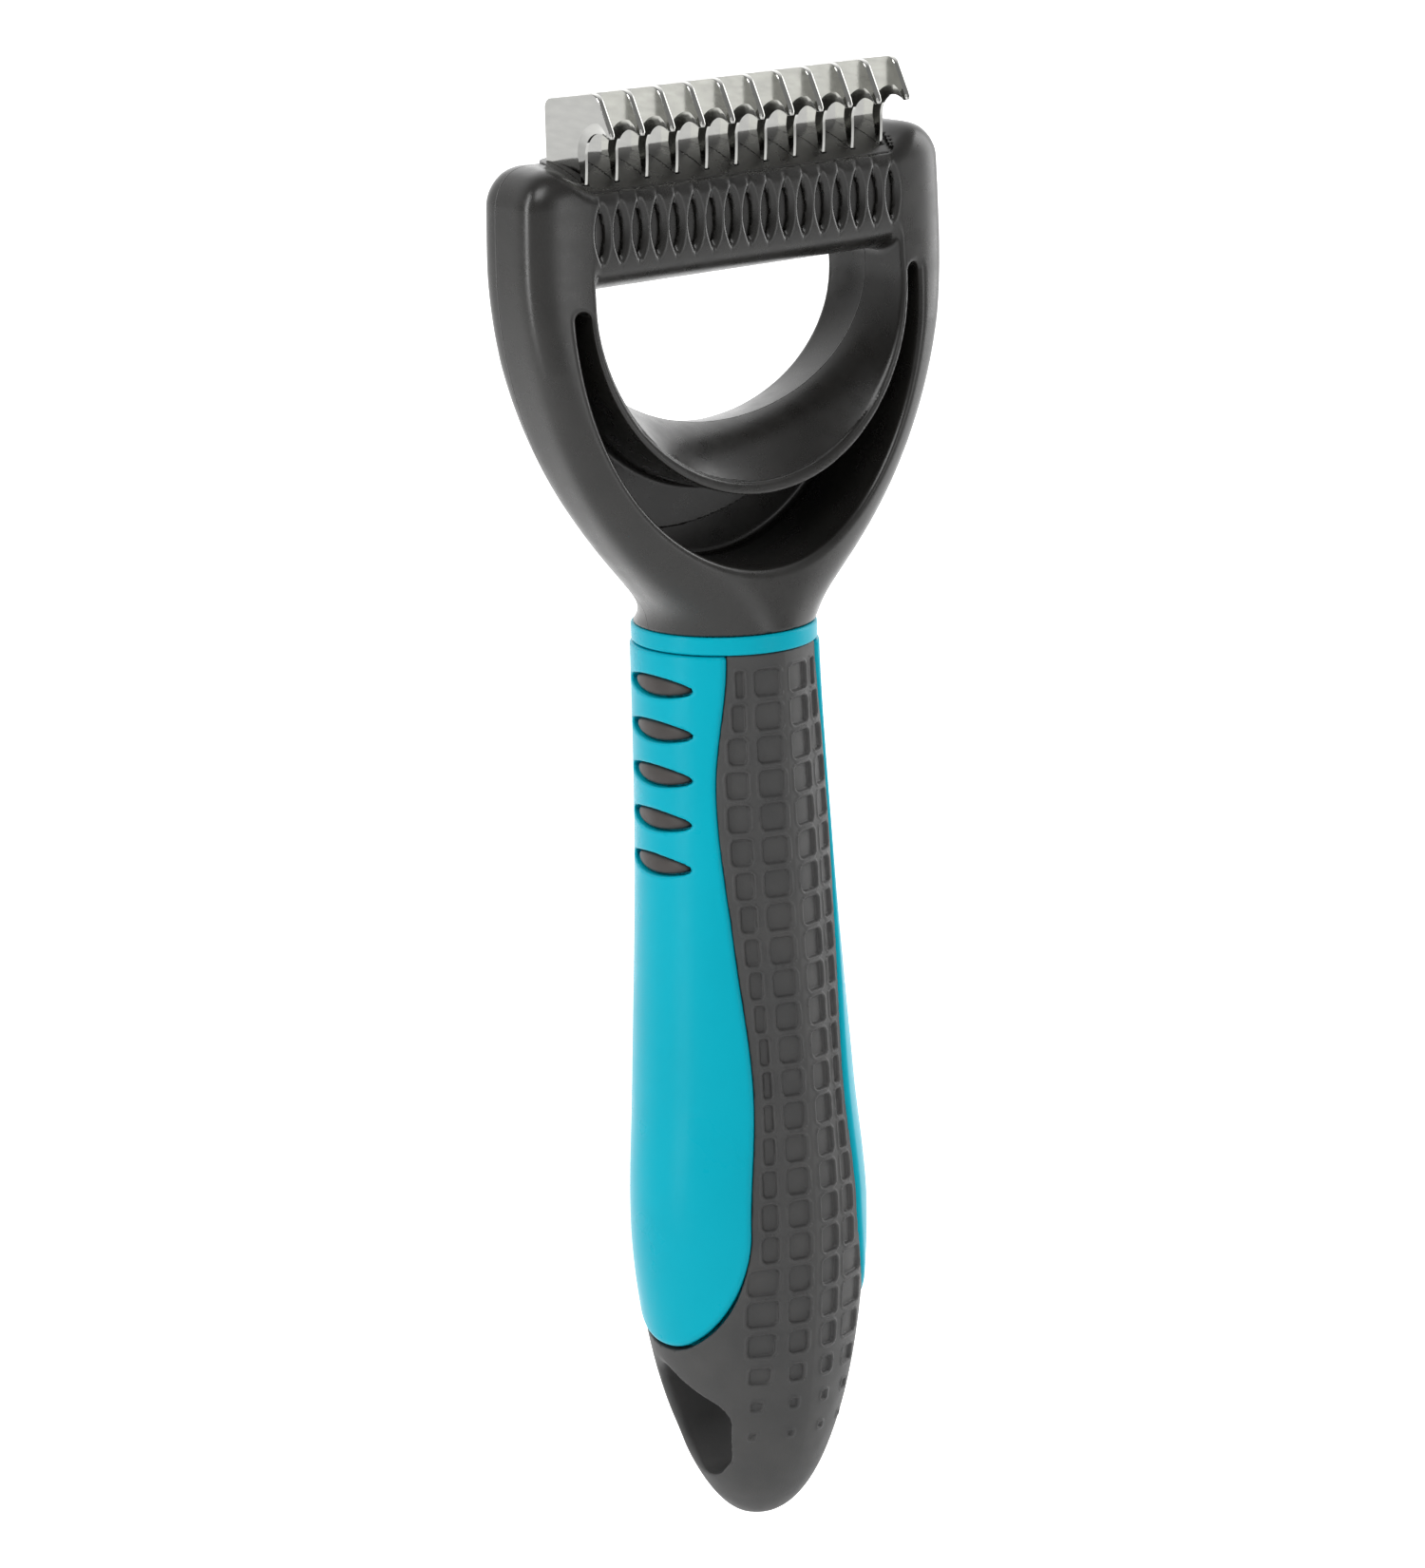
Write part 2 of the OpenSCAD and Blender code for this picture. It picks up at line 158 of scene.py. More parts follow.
# ------------------------------------------------------------------ the handle's shape
BELLY_Z = -18
TIP_Y = -0.5
HALF_WIDTHS = [(SEAT_Z, 11.5), (30, 12.4), (0, 14.2), (BELLY_Z, 15.7)]
FRONTS = [(SEAT_Z, 12.7), (30, 13.7), (0, 15.4), (BELLY_Z, 16.1)]
BACKS = [(SEAT_Z, 11.8), (30, 11.4), (0, 12.1), (BELLY_Z, 11.9)]
PANEL_ANGLES = [(COLLAR_Z, 51), (SEAT_Z - 20, 42), (SEAT_Z - 40, 50), (2, 58), (-17, 56)]
PANEL_BEND_Z = PANEL_ANGLES[-1][0]
PANEL_END_Z = SEAT_Z - 93.4
CORE_END_Z = PANEL_END_Z - 2
RUBBER_T = 2.6


def grip_sizes(z):
    t = np.clip((BELLY_Z - z) / (BELLY_Z - TAIL_Z), 0, 0.9995)
    rest = 1 - t ** 1.8
    half_w = smooth_curve(HALF_WIDTHS, z) * rest ** 0.5
    front = -TIP_Y + (smooth_curve(FRONTS, z) + TIP_Y) * rest ** 0.36
    back = TIP_Y + (smooth_curve(BACKS, z) - TIP_Y) * rest ** 0.64
    return half_w, front, back, 2


def grip_skin(x, y, z):
    return section_field(grip_sizes, x, y, z)


def way_round(x, y, z):
    """Angle round the handle from the front ridge, 0 to 180 degrees, and millimetres per degree."""
    half_w, front, back, _ = grip_sizes(z)
    half_d = (back + front) / 2
    angle = np.degrees(np.arctan2(np.abs(x) / half_w, -(y - (back - front) / 2) / half_d))
    return angle, (half_w + half_d) / 2 * math.pi / 180


def panel_field(x, y, z):
    """Below zero in the part of the handle's sides that the turquoise panels cover."""
    def level(x, y, z):
        angle, _ = way_round(x, y, z)
        down = np.clip((PANEL_BEND_Z - z) / (PANEL_BEND_Z - PANEL_END_Z), 0, None)
        taper = 1.9 + 1.1 * smooth_step((angle - 65) / 30)
        return ((angle - 90) / smooth_curve(PANEL_ANGLES, z)) ** 2 + down ** taper - 1
    return as_distance(level, x, y, z)


# Recessed squares on the rubber: two columns on each side of the front ridge
ROW_PITCH = 4.32
ROW_COUNT = 24
FIRST_ROW_Z = SEAT_Z - 6.15
CELL_HALF_H = 1.72
CELL_CORNER_R = 0.75
CELL_DEPTH = 0.42
CELL_RIM = 0.13                          # height of the raised rim round each square
CELL_MARGIN = 1.35                       # rubber left between the squares and a panel
CELL_GAP = 1.4                           # and between the two columns
LAST_ROWS = [19, 20, 21, 22, 23]
LAST_ROW_SIZES = [1, 0.87, 0.64, 0.34, 0.2]


def cells_depth(x, y, z):
    """How far the skin lies under the smooth handle in the squares, and over it at their rims."""
    row = np.clip(np.round((FIRST_ROW_Z - z) / ROW_PITCH), 0, ROW_COUNT - 1)
    row_z = FIRST_ROW_Z - row * ROW_PITCH
    size = np.interp(row, LAST_ROWS, LAST_ROW_SIZES)
    angle, per_degree = way_round(x, y, z)
    way = angle * per_degree
    half_w, front, back, _ = grip_sizes(row_z)
    mean_radius = (half_w + (front + back) / 2) / 2
    panel_way = np.radians(90 - smooth_curve(PANEL_ANGLES, row_z)) * mean_radius
    panel_way = np.where(row_z < PANEL_BEND_Z - 5, 99, panel_way)
    narrowing = 0.6 * np.clip((25 - row_z) / 22, 0, 1)
    inner_start = 0.75 + 0.2 * np.clip((45 - row_z) / 20, 0, 1)
    inner_end = 4.45 - narrowing
    outer_start = inner_end + CELL_GAP
    outer_end = np.minimum(panel_way - CELL_MARGIN, 9.4)
    depth = 0
    for start, end in ((inner_start, inner_end), (outer_start, outer_end)):
        middle, half = (start + end) / 2, (end - start) / 2
        edge = rounded_box(way - middle, z - row_z, half * size, CELL_HALF_H * size,
                           np.minimum(CELL_CORNER_R, 0.6 * half) * size)
        depth = depth + CELL_DEPTH * smooth_step((0.06 - edge) / 0.22) * np.minimum(1, size + 0.3)
        depth = depth - CELL_RIM * np.exp(-((edge - 0.24) / 0.17) ** 2)
    return depth


# The hanging hole runs through the tail from side to side
HOLE_CORNERS = [(-1.0, -40.0), (-5.8, -43.2), (-4.6, -47.6), (-3.4, -48.8), (-1.2, -46.0)]
HOLE_ROUND = 3.2


RIDGE_FLAT = 0.3                         # how far the skin beside the front ridge is flattened
RIDGE_FLAT_W = 9.5                       # width of that flattening on each side of the ridge
FIT_GAP = 0.03                           # between pieces that touch
PANEL_END_GAP = 0.4                      # the wider seam round the lower end of a panel


def hole_field(y, z):
    return polygon_distance(y, z, HOLE_CORNERS) - HOLE_ROUND


def overmould_field(x, y, z):
    """The rubber: the handle's outside with its squares, less the core, and the hole through the tail."""
    skin = grip_skin(x, y, z)
    angle, per_degree = way_round(x, y, z)
    across_flat = np.clip(angle * per_degree / RIDGE_FLAT_W, 0, 1)
    flat = RIDGE_FLAT * np.sin(math.pi * across_flat) * np.clip((z + 52) / 22, 0, 1)
    panel = panel_field(x, y, z)
    outside = skin + flat + cells_depth(x, y, z) * smooth_step((panel - 0.35) / 0.5)
    gap = FIT_GAP + PANEL_END_GAP * smooth_step((PANEL_BEND_Z - 4 - z) / 8)
    core = np.minimum(skin + RUBBER_T, panel - gap)
    core = np.maximum(core, CORE_END_Z - z)
    solid = smooth_max(outside, z - COLLAR_Z + FIT_GAP, 0.3)
    solid = smooth_max(solid, TAIL_Z - z, 0.6)
    solid = smooth_max(solid, -core, 0.15)
    return smooth_max(solid, -hole_field(y, z), 0.4 + 1.4 * smooth_step((y + 3) / 4))


# ------------------------------------------------------------------ ribs let into the panels
RIB_PITCH = 5.75
RIB_HALF_LEN = 7.3
RIB_HALF_H = 1.3
RIB_Y = -0.2
RIB_DEPTH = 1.3
RIB_COUNT = 5
RIB_REACH = np.array([1.5, 2.5, 0.3])    # how far a rib's tips may reach past its CAD solid
RIB_ARC_R = (RIB_HALF_LEN ** 2 + RIB_HALF_H ** 2) / (2 * RIB_HALF_H)


def rib_z(number):
    return SEAT_Z - 7 - (number - 1) * RIB_PITCH


def lens_field(y, z, middle_z):
    below = np.hypot(y - RIB_Y, z - middle_z - RIB_HALF_H + RIB_ARC_R) - RIB_ARC_R
    above = np.hypot(y - RIB_Y, z - middle_z + RIB_HALF_H - RIB_ARC_R) - RIB_ARC_R
    return smooth_max(below, above, 1.7)


def rib_field(number):
    def field(x, y, z):
        skin = grip_skin(x, y, z)
        lens = lens_field(y, z, rib_z(number))
        crown = skin + 0.05 + 0.16 * np.clip(1 + lens / RIB_HALF_H, 0, 1) ** 2
        solid = smooth_max(crown, lens + 0.1, 0.5)
        return smooth_max(solid, -(skin + RIB_DEPTH), 0.2)
    return field


def core_field(x, y, z):
    skin = grip_skin(x, y, z)
    panel = panel_field(x, y, z)
    panels = smooth_max(skin - 0.32, panel, 0.9)
    solid = np.minimum(skin + RUBBER_T + 0.05, panels)
    solid = smooth_max(solid, z - COLLAR_Z + 0.12, 0.45)
    solid = smooth_max(solid, CORE_END_Z - z, 0.3)
    nearest_rib = np.clip(np.round((rib_z(1) - z) / RIB_PITCH), 0, RIB_COUNT - 1) + 1
    lens = lens_field(y, z, rib_z(nearest_rib))
    bed = np.maximum(lens - 0.14, -(skin + RIB_DEPTH + 0.05))
    solid = smooth_max(solid, -bed, 0.3)
    socket = np.maximum(rounded_box(x, y, 6.2, 6.8, 2), TANG_Z - 0.3 - z)
    return np.maximum(solid, -socket)


COLLAR_PROUD = 0.1                       # how far the collar stands out from the handle
COLLAR_T = 2.6


def collar_field(x, y, z):
    def sizes(_):
        half_w, front, back, power = grip_sizes(SEAT_Z)
        return half_w + COLLAR_PROUD, front + COLLAR_PROUD, back + COLLAR_PROUD, power
    outside = section_field(sizes, x, y, z)
    middle_z = (SEAT_Z + COLLAR_Z) / 2
    solid = smooth_max(outside, np.abs(z - middle_z) - (SEAT_Z - COLLAR_Z) / 2 + 0.02, 0.4)
    return np.maximum(solid, -(outside + COLLAR_T))


# ------------------------------------------------------------------ the head
ARM_R = 57
NECK_HALF_W = 11
NECK_FLARE = 7.2                         # how far the back of the neck swells out at the collar
SHOULDER_R = 5


def shoulder_round(z):
    t = np.clip((z - SHOULDER_Z + SHOULDER_R) / SHOULDER_R, 0, 1)
    return SHOULDER_R * (1 - np.sqrt(1 - 0.96 * t * t))


def head_sizes(z):
    arm = HEAD_W / 2 - ARM_R + np.sqrt(np.maximum(ARM_R ** 2 - np.minimum(0, z - WIDE_Z) ** 2, 0))
    half_w = (NECK_HALF_W + arm + np.sqrt((NECK_HALF_W - arm) ** 2 + 9)) / 2 - shoulder_round(z)
    half_w = half_w - 0.5 * np.clip((z - WIDE_Z) / (SHOULDER_Z - WIDE_Z), 0, 1) ** 2
    front = HEAD_FRONT + 4 * smooth_max((OPENING_Z + 3 - z) / (OPENING_Z + 3 - SEAT_Z), 0, 0.12)
    back = HEAD_BACK - 1.4 * np.clip((WIDE_Z - z) / 33, 0, 1)
    back = back + NECK_FLARE * np.exp(-np.clip(z - SEAT_Z, -2, None) / 4)
    power = 2 + 3.5 * np.clip((z - SEAT_Z) / 36, 0, 1)
    return half_w, front - 0.7 * shoulder_round(z), back - 0.7 * shoulder_round(z), power


def oval(x, z, half_w, drop):
    """Half oval below the opening's centre that runs straight up above it."""
    return np.hypot(x / half_w, np.minimum(z - OPENING_Z, 0) / drop) - 1


RIM_HALF_W, RIM_DROP = 24.4, 23.8
CROWN_HALF_W, CROWN_DROP = 24.0, 17.2
CROWN_Y = -1.3
RING_WALL = 1.6


def finger_opening(x, y, z):
    """The bell that the fingers go through: widest at the front, tightest at the crown."""
    def level(x, y, z):
        ahead = np.clip((CROWN_Y - y) / (HEAD_FRONT + 1.2 + CROWN_Y), 0, 1)
        behind = np.clip((y - CROWN_Y) / 6.6, 0, 1.2)
        half_w = CROWN_HALF_W + (RIM_HALF_W - CROWN_HALF_W) * ahead - 0.9 * behind ** 2
        drop = CROWN_DROP + (RIM_DROP - CROWN_DROP) * (0.35 * ahead + 0.65 * ahead ** 2) + behind ** 2
        return oval(x, z, half_w, drop)
    bell = as_distance(level, x, y, z)
    middle_y = (HEAD_BACK - HEAD_FRONT) / 2
    half_d = (HEAD_BACK + HEAD_FRONT) / 2
    bar = np.where(y < middle_y,
                   rounded_box(y - middle_y, z - BAR_BOTTOM_Z - 20, half_d, 20, 5),
                   rounded_box(y - middle_y, z - BAR_BOTTOM_Z - 20, half_d, 20, 2.5))
    return smooth_max(bell, -bar, 1.2)


POCKET_HALF_W, POCKET_DROP = 27.4, 34.8
POCKET_FLOOR_Y = 2.2
SLOT_TOP_Z = OPENING_Z + 0.4


def pocket(x, y, z):
    """The curved pocket between the ring and the outer wall, with a shallow step in its floor."""
    outer = as_distance(lambda x, y, z: oval(x, z, POCKET_HALF_W, POCKET_DROP), x, y, z)
    ring = as_distance(lambda x, y, z: oval(x, z, RIM_HALF_W + 0.9, RIM_DROP + RING_WALL), x, y, z)
    slot_middle = (POCKET_HALF_W + RIM_HALF_W + 0.9) / 2
    slot_round = (POCKET_HALF_W - RIM_HALF_W - 0.9) / 2
    over_top = np.hypot(np.abs(x) - slot_middle, np.maximum(z - SLOT_TOP_Z + slot_round, 0)) - slot_round
    gap = np.maximum(outer, -ring)
    gap = np.where(z > SLOT_TOP_Z - slot_round, over_top, gap)
    step_z = SEAT_Z + 12.7 + 0.015 * (x + 7) ** 2
    floor_y = POCKET_FLOOR_Y - 1.7 * smooth_step((z - step_z) / 0.5 + 0.5)
    return smooth_max(gap, y - floor_y, 0.8), 0.5 + 0.8 * smooth_step(ring / 3)


FLUTE_PITCH = 2.9
FLUTE_REACH = 8
FLUTE_HALF_W = 1.3
FLUTE_DEPTH = 2.0
FLUTE_WHEEL_R = 6.0
FLUTE_Z = BAR_BOTTOM_Z + 7.3


def flutes(x, y, z):
    """Seventeen leaf-shaped grooves, as a V-edged wheel would cut them."""
    nearest = np.clip(np.round(x / FLUTE_PITCH), -FLUTE_REACH, FLUTE_REACH)
    aside = np.sqrt((x - nearest * FLUTE_PITCH) ** 2 + 0.04)
    wheel = np.hypot(y + HEAD_FRONT + FLUTE_WHEEL_R - FLUTE_DEPTH, z - FLUTE_Z) - FLUTE_WHEEL_R
    slope = FLUTE_DEPTH / FLUTE_HALF_W
    return (wheel + slope * aside) / math.sqrt(1 + slope ** 2)


CARRIER_HALF_W = CARRIER_HIGH[0]
SEAT_GAP = 0.04                          # round the carrier in its seat
DIP_HALF_W = 25.3                        # the dip in the head's top that the carrier lies in
CARRIER_MID_Y = (CARRIER_LOW[1] + CARRIER_HIGH[1]) / 2
CARRIER_HALF_D = (CARRIER_HIGH[1] - CARRIER_LOW[1]) / 2


def top_height(y):
    """The crown of the carrier and of the head beside it, which falls towards the front."""
    return CREST_Z - 0.0251 * np.minimum(0, y - 4.1) ** 2


def narrowing(y):
    """The carrier and the dip that it lies in are a little narrower towards the back."""
    return 1 + 0.0045 * (y - CARRIER_LOW[1])


def carrier_plan(x, y):
    return rounded_box(x * narrowing(y), y - CARRIER_MID_Y, CARRIER_HALF_W, CARRIER_HALF_D, 2.6)


def head_field(x, y, z):
    solid = section_field(head_sizes, x, y, z)
    solid = smooth_max(solid, SEAT_Z + 0.02 - z, 0.3)
    solid = smooth_max(solid, z - SHOULDER_Z, 1.2)
    solid = smooth_max(solid, -finger_opening(x, y, z), 0.7)
    hollow, rim_radius = pocket(x, y, z)
    solid = smooth_max(solid, -hollow, rim_radius)
    solid = smooth_max(solid, -flutes(x, y, z), 0.45)
    wall = np.abs(x) * narrowing(y) - DIP_HALF_W - (z - BAR_TOP_Z)
    dip = smooth_max(0.7 * wall, top_height(y) + 0.15 - z, 1.8)
    solid = smooth_max(solid, -dip, 1.4)
    seat_height = np.maximum(CARRIER_LOW[2] - SEAT_GAP - z, z - top_height(y) - 0.2)
    seat = np.maximum(carrier_plan(x, y) - SEAT_GAP, seat_height)
    solid = smooth_max(solid, -seat, 0.14)
    tang = np.maximum(rounded_box(x, y, 5.8, 6.4, 2), np.maximum(TANG_Z - z, z - SEAT_Z - 2))
    return smooth_min(solid, tang, 0.3)


def carrier_field(x, y, z):
    solid = smooth_max(carrier_plan(x, y), z - top_height(y), 0.25)
    solid = smooth_max(solid, CARRIER_LOW[2] - z, 0.4)
    slots = 99
    for name in BLADES:
        low, high = mm_box(name)
        slots = np.minimum(slots, np.abs(x - (low[0] + high[0]) / 2) - (high[0] - low[0]) / 2)
    slots = np.maximum(slots + 0.03, np.maximum(BLADE_LOW[2] - 0.1 - z, np.abs(y + 1.95) - 3.85))
    return smooth_max(solid, -slots, 0.02)


# ---------------------------------------------------------------------------------------------
# Meshes
# ---------------------------------------------------------------------------------------------
def crossed_cells(value):
    """Mean crossing point of every grid cell that the surface passes through, in grid units."""
    corners = [(i, j, k) for i in (0, 1) for j in (0, 1) for k in (0, 1)]
    counts = [n - 1 for n in value.shape]
    part = {c: value[c[0]:c[0] + counts[0], c[1]:c[1] + counts[1], c[2]:c[2] + counts[2]] for c in corners}
    inside = sum((part[c] < 0).astype(np.int8) for c in corners)
    active = (inside > 0) & (inside < 8)
    cells = np.argwhere(active)
    at_corner = {c: part[c][active].astype(float) for c in corners}
    total = np.zeros((len(cells), 3))
    crossings = np.zeros(len(cells))
    for start in corners:
        for axis in range(3):
            if start[axis]:
                continue
            end = tuple(v + (k == axis) for k, v in enumerate(start))
            a, b = at_corner[start], at_corner[end]
            cut = (a < 0) != (b < 0)
            share = np.where(cut, a / np.where(cut, a - b, 1), 0)
            point = np.array(start, float) + share[:, None] * (np.array(end) - np.array(start))
            total += np.where(cut[:, None], point, 0)
            crossings += cut
    return active, cells + total / crossings[:, None]


def grid_quads(value, active):
    """One quad round every grid edge that the surface crosses, facing outwards."""
    index = np.full(active.shape, -1, np.int64)
    index[active] = np.arange(active.sum())
    quads = []
    for axis in range(3):
        second, third = (axis + 1) % 3, (axis + 2) % 3
        low, high = [slice(1, -1)] * 3, [slice(1, -1)] * 3
        low[axis], high[axis] = slice(0, -1), slice(1, None)
        near, far = value[tuple(low)] < 0, value[tuple(high)] < 0
        for turned in (False, True):
            cut = (~near & far) if turned else (near & ~far)
            place = np.argwhere(cut)
            place[:, second] += 1
            place[:, third] += 1
            ring = []
            for back_second, back_third in ((1, 1), (0, 1), (0, 0), (1, 0)):
                at = place.copy()
                at[:, second] -= back_second
                at[:, third] -= back_third
                ring.append(index[at[:, 0], at[:, 1], at[:, 2]])
            if turned:
                ring.reverse()
            quads.append(np.stack(ring, 1))
    return np.concatenate(quads)


def gradient(points, field, step=0.03):
    """Steepest direction of a field at some points."""
    x, y, z = points.T
    return np.stack([field(x + step, y, z) - field(x - step, y, z),
                     field(x, y + step, z) - field(x, y - step, z),
                     field(x, y, z + step) - field(x, y, z - step)], 1) / (2 * step)


def settle(points, field, reach, rounds=3):
    """Moves the points straight onto the surface."""
    for _ in range(rounds):
        slope = gradient(points, field)
        length = np.maximum((slope ** 2).sum(1), 0.05)
        move = -field(*points.T)[:, None] * slope / length[:, None]
        far = np.linalg.norm(move, axis=1)
        points = points + move * np.minimum(1, reach / np.maximum(far, 1e-9))[:, None]
    return points


def mesh_piece(name, points, faces, node, material):
    """A Blender object from points in millimetres, standing for one CAD node."""
    mesh = bpy.data.meshes.new(name)
    mesh.from_pydata((np.asarray(points) * MM).tolist(), [], np.asarray(faces).tolist())
    mesh.polygons.foreach_set("use_smooth", [True] * len(mesh.polygons))
    mesh.validate()
    mesh.update()
    piece = bpy.data.objects.new(name, mesh)
    bpy.context.scene.collection.objects.link(piece)
    piece.data.materials.append(material)
    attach(piece, "root")
    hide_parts(node)
    return piece


def field_piece(name, field, low, high, grid, node, material):
    """Meshes a field inside a box and just past it, and shades the mesh by the field's own directions."""
    low, high = np.array(low, float) - 1.5 * grid, np.array(high, float) + 1.5 * grid
    axes = [np.arange(low[k], high[k] + grid, grid) for k in range(3)]
    x, y, z = axes[0][:, None, None], axes[1][None, :, None], axes[2][None, None, :]
    value = np.broadcast_to(field(x, y, z), [len(axis) for axis in axes])
    active, cells = crossed_cells(value)
    points = settle(low + cells * grid, field, 0.6 * grid)
    piece = mesh_piece(name, points, grid_quads(value, active), node, material)
    normals = gradient(points, field, 0.05)
    normals /= np.maximum(np.linalg.norm(normals, axis=1), 1e-6)[:, None]
    # Where an edge makes the field's direction jump, the mesh's own normal is used
    own = np.empty(normals.size)
    piece.data.vertex_normals.foreach_get("vector", own)
    own = own.reshape(-1, 3)
    doubtful = (normals * own).sum(1) < 0.75
    normals[doubtful] = own[doubtful]
    piece.data.normals_split_custom_set_from_vertices(normals.tolist())
    return piece


# ------------------------------------------------------------------ blades
HOOK_R = 2.95
HOOK_Y = -8.8
HOOK_Z = BLADE_HIGH[2] - 7.8
STEM_Y = HOOK_Y + HOOK_R
BACK_Y = BLADE_HIGH[1]
BACK_CORNER_R = 1.4
TOP_FALL = 1.2                           # how much lower the back of the top edge is
BEVEL_W = 1.25                           # width of the ground band along the hook's inside
EDGE_HALF_T = 0.2                        # half thickness left at the very edge
ROUND_W = 0.12                           # depth of the rounding on every other edge
STEPS = (0, 0.12, 0.4, 1)                # where the rounding's points lie, as shares of its depth


def arc(centre_y, centre_z, radius, first, last, count):
    angles = np.radians(np.linspace(first, last, count))
    return [(centre_y + radius * math.cos(a), centre_z + radius * math.sin(a)) for a in angles]


def blade_outline():
    """Outline points in Y and Z, clockwise from the root's front, each with its ground band's width."""
    top_z = BLADE_HIGH[2]
    shoulder_y = STEM_Y - 2.4
    tip_angle = math.degrees(math.atan2(2.7, -2.4))
    rows = [(STEM_Y + 0.35, BLADE_LOW[2], 0.2), (STEM_Y + 0.35, HOOK_Z - 4.6, 0.2)]
    for share in np.linspace(0, 1, 10):
        rows.append((STEM_Y + 0.3 * (1 - share) ** 2, HOOK_Z - 4 * (1 - share), 0.2 + 0.8 * share))
    for i, point in enumerate(arc(HOOK_Y, HOOK_Z, HOOK_R, 0, tip_angle - 4, 34)[1:]):
        rows.append((*point, float(np.clip((33 - i) / 10, 0.2, 1))))
    rows.append((HOOK_Y - 2.42, HOOK_Z + 2.45, 0.1))
    rows.append((HOOK_Y - 2.46, HOOK_Z + 2.85, 0))
    rows.append((HOOK_Y - 2.25, HOOK_Z + 3.45, 0))
    for point in arc(shoulder_y + 0.5, top_z - 1.75, 1.72, 152, 84, 9):
        rows.append((*point, 0))
    corner_z = top_z - TOP_FALL - BACK_CORNER_R
    for point in arc(BACK_Y - BACK_CORNER_R, corner_z, BACK_CORNER_R, 80, 0, 9):
        rows.append((*point, 0))
    rows.append((BACK_Y, BLADE_LOW[2], 0))
    return rows


def inward(points):
    """Unit directions into the outline, from its neighbours on both sides."""
    before, after = np.roll(points, 1, 0), np.roll(points, -1, 0)
    along_1 = points - before
    along_2 = after - points
    along_1 /= np.linalg.norm(along_1, axis=1)[:, None]
    along_2 /= np.linalg.norm(along_2, axis=1)[:, None]
    normal = np.stack([along_1[:, 1] + along_2[:, 1], -along_1[:, 0] - along_2[:, 0]], 1)
    normal /= np.linalg.norm(normal, axis=1)[:, None]
    bend = np.maximum((np.stack([along_1[:, 1], -along_1[:, 0]], 1) * normal).sum(1), 0.5)
    return normal / bend[:, None]


def blade_piece(node, material):
    """A blade: flat polished faces, a ground band along the hook, and broken edges elsewhere."""
    low, high = mm_box(node)
    middle, half_t = (low[0] + high[0]) / 2, (high[0] - low[0]) / 2
    rows = blade_outline()
    outline = np.array([row[:2] for row in rows])
    width = np.array([row[2] for row in rows])
    ground = np.minimum(1, 6 * width)
    count = len(rows)
    rings = []
    for step in STEPS:
        depth = (ROUND_W + (BEVEL_W - ROUND_W) * width) * step
        rounded_t = EDGE_HALF_T + (half_t - EDGE_HALF_T) * math.sqrt(1 - (1 - step) ** 2)
        ground_t = EDGE_HALF_T + (half_t - EDGE_HALF_T) * step
        ring_half_t = rounded_t + (ground_t - rounded_t) * ground
        rings.append((outline + inward(outline) * depth[:, None], ring_half_t))
    points = []
    for side, order in ((-1, rings[::-1]), (1, rings)):
        for ring, ring_half_t in order:
            points += [(middle + side * t, y, z) for (y, z), t in zip(ring, ring_half_t)]
    faces = [list(range(count))]
    bands = 2 * len(STEPS) - 1
    for band in range(bands):
        for i in range(count):
            j = (i + 1) % count
            near, far = band * count, (band + 1) * count
            faces.append([near + i, far + i, far + j, near + j])
    faces.append([bands * count + i for i in reversed(range(count))])
    mesh = bpy.data.meshes.new(node + "_ground")
    mesh.from_pydata((np.array(points) * MM).tolist(), [], faces)
    shape = bmesh.new()
    shape.from_mesh(mesh)
    bmesh.ops.recalc_face_normals(shape, faces=shape.faces)
    for face in shape.faces:
        face.smooth = True
    for edge in shape.edges:
        flat = max(len(face.verts) for face in edge.link_faces) > 4
        edge.smooth = not flat and edge.calc_face_angle(0) < math.radians(32)
    shape.to_mesh(mesh)
    shape.free()
    piece = bpy.data.objects.new(node + "_ground", mesh)
    bpy.context.scene.collection.objects.link(piece)
    piece.data.materials.append(material)
    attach(piece, "root")
    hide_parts(node)
    return piece


# ---------------------------------------------------------------------------------------------
# Materials
# ---------------------------------------------------------------------------------------------
def noise(nodes, links, coordinates, scale, detail):
    texture = nodes.new("ShaderNodeTexNoise")
    texture.inputs["Scale"].default_value = scale
    texture.inputs["Detail"].default_value = detail
    links.new(coordinates, texture.inputs["Vector"])
    return texture.outputs["Fac"]


def ramp(nodes, links, source, low, high):
    """Maps the middle of a noise to the range from low to high."""
    node = nodes.new("ShaderNodeMapRange")
    node.inputs["From Min"].default_value = 0.3
    node.inputs["From Max"].default_value = 0.7
    node.inputs["To Min"].default_value = low
    node.inputs["To Max"].default_value = high
    links.new(source, node.inputs["Value"])
    return node.outputs["Result"]


def math_node(nodes, links, operation, first, second):
    """A maths node on a socket and another socket or number."""
    node = nodes.new("ShaderNodeMath")
    node.operation = operation
    for index, value in enumerate((first, second)):
        if isinstance(value, (int, float)):
            node.inputs[index].default_value = value
        else:
            links.new(value, node.inputs[index])
    return node.outputs["Value"]


